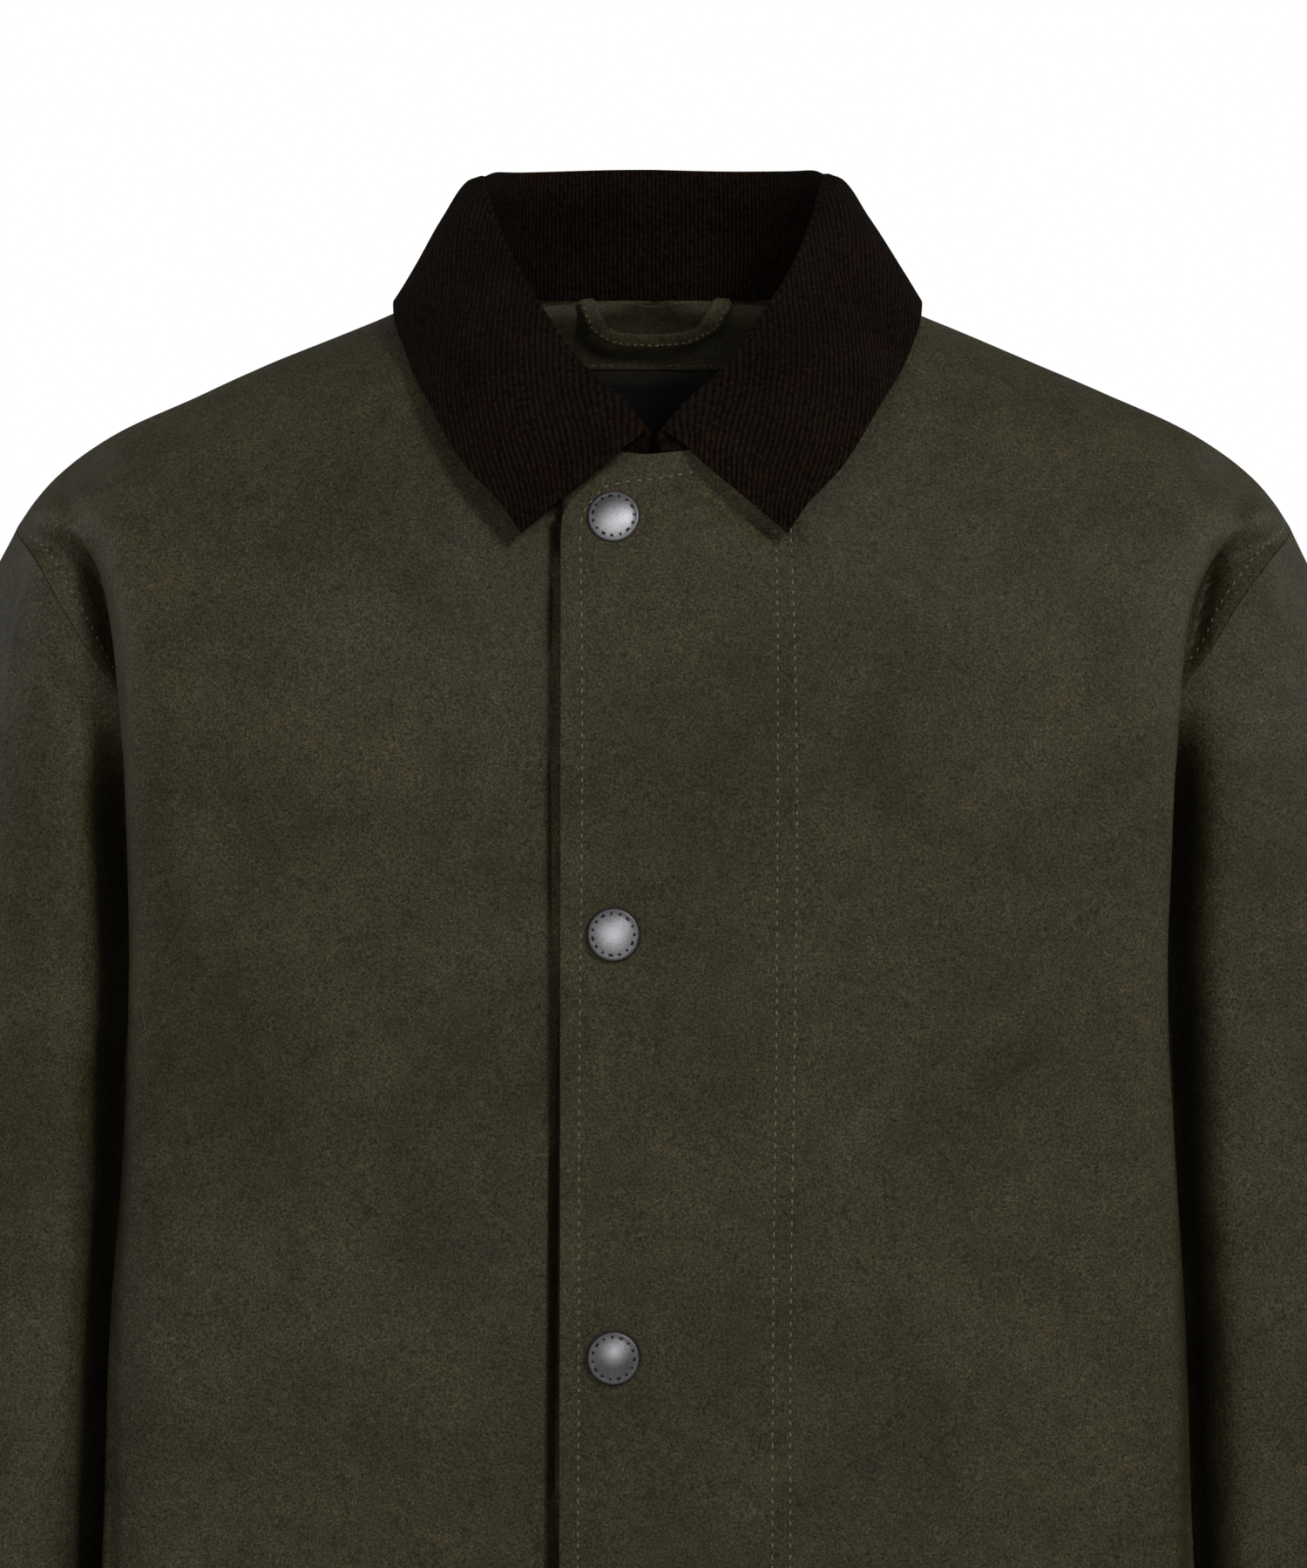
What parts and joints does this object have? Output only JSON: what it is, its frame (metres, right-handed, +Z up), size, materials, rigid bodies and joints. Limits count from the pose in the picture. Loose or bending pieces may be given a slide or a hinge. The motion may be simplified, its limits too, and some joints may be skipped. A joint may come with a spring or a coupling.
{
  "type": "waxed cotton jacket, worn form with no wearer",
  "caption": "Hollow worn-form jacket: lapped snap front, turned-down corduroy collar, dropped set-in sleeves and a hanger loop inside the back neck.",
  "frame": {"origin": "between the shoulders, level with the back neck seam and on the line of the shoulder ridge, where the wearer's shoulders hold the jacket", "axes": "+Z up, from hem to collar; +X to the wearer's left; -Y to the wearer's front"},
  "size_m": [0.6314, 0.2399, 0.8213],
  "materials": {
    "waxed_cotton": "olive-brown waxed cotton, faint sheen",
    "corduroy": "dark brown fine-wale corduroy",
    "facing": "olive-brown waxed cotton",
    "lining": "dark plain lining",
    "label": "black woven tape, bare",
    "snap_metal": "gunmetal, brushed dome"
  },
  "bodies": {
    "root": {"front_left": "waxed_cotton", "front_right": "waxed_cotton", "back": "waxed_cotton", "sleeve_left": "waxed_cotton", "sleeve_right": "waxed_cotton", "collar": "corduroy", "neck_facing": "facing", "back_lining": "lining", "label": "label", "hanger_loop": "facing", "snap_1": "snap_metal", "snap_2": "snap_metal", "snap_3": "snap_metal", "snap_4": "snap_metal", "snap_5": "snap_metal", "stud_1": "snap_metal", "stud_2": "snap_metal", "stud_3": "snap_metal", "stud_4": "snap_metal", "stud_5": "snap_metal"}
  },
  "joints": []
}
